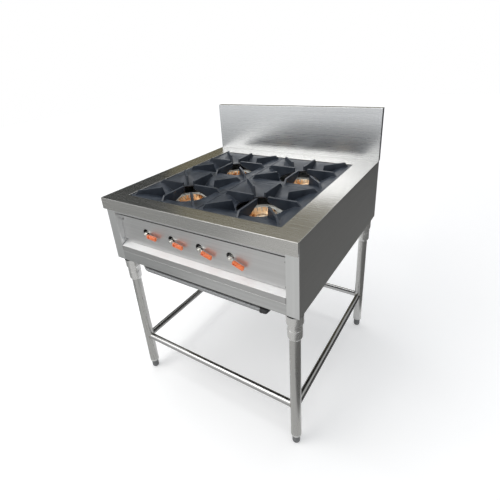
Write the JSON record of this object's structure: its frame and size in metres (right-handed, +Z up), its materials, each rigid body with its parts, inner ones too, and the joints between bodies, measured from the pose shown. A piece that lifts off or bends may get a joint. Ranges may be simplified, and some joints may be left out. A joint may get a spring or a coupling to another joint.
{
  "type": "gas range",
  "caption": "Stainless gas range with cast grates, brass burners, quarter-turn lever valves, a drip tray, a splashback and a tubular leg frame.",
  "frame": {"origin": "on the floor under the middle of the range's overall box", "axes": "+Z up, front (valve levers) towards -Y, +X to the right seen from the front"},
  "size_m": [0.8, 0.8, 1.08],
  "materials": {
    "stainless": "brushed stainless sheet, grain along the long side",
    "frame_steel": "dull galvanised sheet",
    "leg_steel": "satin stainless tube",
    "polished_steel": "polished",
    "foot_plastic": "dark grey, moulded",
    "grate_iron": "dark blue-grey enamel on cast iron",
    "burner_iron": "light grey heat-proof paint on cast iron",
    "brass": "machined, warm",
    "grip": "orange dipped vinyl, slight sheen",
    "pipe": "grey coated steel pipe",
    "fitting_iron": "dark malleable iron",
    "gas_tube": "bare bent tube"
  },
  "bodies": {
    "range_frame": {"top_frame": "stainless", "backsplash": "stainless", "back_panel": "stainless", "side_panel_left": "stainless", "side_panel_right": "stainless", "front_post_left": "stainless", "front_post_right": "stainless", "front_top_rail": "stainless", "control_panel": "stainless", "control_panel_screws": "stainless", "base_frame": "frame_steel", "tray_runner_left": "frame_steel", "tray_runner_right": "frame_steel", "grate_support_cross": "frame_steel", "burner_rails": "frame_steel", "pipe_hanger": "frame_steel", "leg_sockets": "leg_steel", "leg_inserts": "leg_steel", "leg_front_left": "leg_steel", "leg_front_right": "leg_steel", "leg_rear_left": "leg_steel", "leg_rear_right": "leg_steel", "stretcher_front": "polished_steel", "stretcher_rear": "polished_steel", "stretcher_left": "polished_steel", "stretcher_right": "polished_steel", "valve_bodies": "polished_steel", "burner_body_front_left": "burner_iron", "burner_body_front_right": "burner_iron", "burner_body_rear_left": "burner_iron", "burner_body_rear_right": "burner_iron", "burner_heads": "brass", "injectors": "brass", "supply_pipe_front": "pipe", "supply_pipe_rear": "pipe", "gas_manifold": "pipe", "pipe_fittings": "fitting_iron", "gas_inlet": "fitting_iron", "gas_tubes": "gas_tube"},
    "grate_front_left": {"grate_front_left": "grate_iron"},
    "foot_front_left": {"foot_front_left": "foot_plastic"},
    "air_shutter_front_left": {"air_shutter_front_left": "frame_steel"},
    "grate_front_right": {"grate_front_right": "grate_iron"},
    "foot_front_right": {"foot_front_right": "foot_plastic"},
    "air_shutter_front_right": {"air_shutter_front_right": "frame_steel"},
    "grate_rear_left": {"grate_rear_left": "grate_iron"},
    "foot_rear_left": {"foot_rear_left": "foot_plastic"},
    "air_shutter_rear_left": {"air_shutter_rear_left": "frame_steel"},
    "grate_rear_right": {"grate_rear_right": "grate_iron"},
    "foot_rear_right": {"foot_rear_right": "foot_plastic"},
    "air_shutter_rear_right": {"air_shutter_rear_right": "frame_steel"},
    "lever_1": {"valve_lever_1": "polished_steel", "lever_grip_1": "grip"},
    "lever_2": {"valve_lever_2": "polished_steel", "lever_grip_2": "grip"},
    "lever_3": {"valve_lever_3": "polished_steel", "lever_grip_3": "grip"},
    "lever_4": {"valve_lever_4": "polished_steel", "lever_grip_4": "grip"},
    "drip_tray": {"drip_tray": "stainless"}
  },
  "joints": [
    {"name": "lever_1_turn", "type": "hinge", "parent": "range_frame", "child": "lever_1", "pos_m": [-0.225, -0.34, 0.735], "axis": [0, 1, 0], "range_deg": [-5, 85]},
    {"name": "lever_2_turn", "type": "hinge", "parent": "range_frame", "child": "lever_2", "pos_m": [-0.0995, -0.34, 0.735], "axis": [0, 1, 0], "range_deg": [-10, 80]},
    {"name": "lever_3_turn", "type": "hinge", "parent": "range_frame", "child": "lever_3", "pos_m": [0.026, -0.34, 0.735], "axis": [0, 1, 0], "range_deg": [-15, 75]},
    {"name": "lever_4_turn", "type": "hinge", "parent": "range_frame", "child": "lever_4", "pos_m": [0.1515, -0.34, 0.735], "axis": [0, 1, 0], "range_deg": [-20, 70]},
    {"name": "drip_tray_slide", "type": "slide", "parent": "range_frame", "child": "drip_tray", "axis": [0, -1, 0], "range_m": [0, 0.55]},
    {"name": "grate_front_left_lift", "type": "slide", "parent": "range_frame", "child": "grate_front_left", "axis": [0, 0, 1], "range_m": [0, 0.15]},
    {"name": "grate_front_right_lift", "type": "slide", "parent": "range_frame", "child": "grate_front_right", "axis": [0, 0, 1], "range_m": [0, 0.15]},
    {"name": "grate_rear_left_lift", "type": "slide", "parent": "range_frame", "child": "grate_rear_left", "axis": [0, 0, 1], "range_m": [0, 0.15]},
    {"name": "grate_rear_right_lift", "type": "slide", "parent": "range_frame", "child": "grate_rear_right", "axis": [0, 0, 1], "range_m": [0, 0.15]},
    {"name": "foot_front_left_adjust", "type": "slide", "parent": "range_frame", "child": "foot_front_left", "axis": [0, 0, -1], "range_m": [0, 0.025]},
    {"name": "foot_front_right_adjust", "type": "slide", "parent": "range_frame", "child": "foot_front_right", "axis": [0, 0, -1], "range_m": [0, 0.025]},
    {"name": "foot_rear_left_adjust", "type": "slide", "parent": "range_frame", "child": "foot_rear_left", "axis": [0, 0, -1], "range_m": [0, 0.025]},
    {"name": "foot_rear_right_adjust", "type": "slide", "parent": "range_frame", "child": "foot_rear_right", "axis": [0, 0, -1], "range_m": [0, 0.025]},
    {"name": "air_shutter_front_left_turn", "type": "hinge", "parent": "range_frame", "child": "air_shutter_front_left", "pos_m": [-0.159, -0.2885, 0.722], "axis": [0, 1, 0], "range_deg": [0, 80]},
    {"name": "air_shutter_front_right_turn", "type": "hinge", "parent": "range_frame", "child": "air_shutter_front_right", "pos_m": [0.159, -0.2885, 0.722], "axis": [0, 1, 0], "range_deg": [0, 80]},
    {"name": "air_shutter_rear_left_turn", "type": "hinge", "parent": "range_frame", "child": "air_shutter_rear_left", "pos_m": [-0.159, 0.0295, 0.722], "axis": [0, 1, 0], "range_deg": [0, 80]},
    {"name": "air_shutter_rear_right_turn", "type": "hinge", "parent": "range_frame", "child": "air_shutter_rear_right", "pos_m": [0.159, 0.0295, 0.722], "axis": [0, 1, 0], "range_deg": [0, 80]}
  ]
}
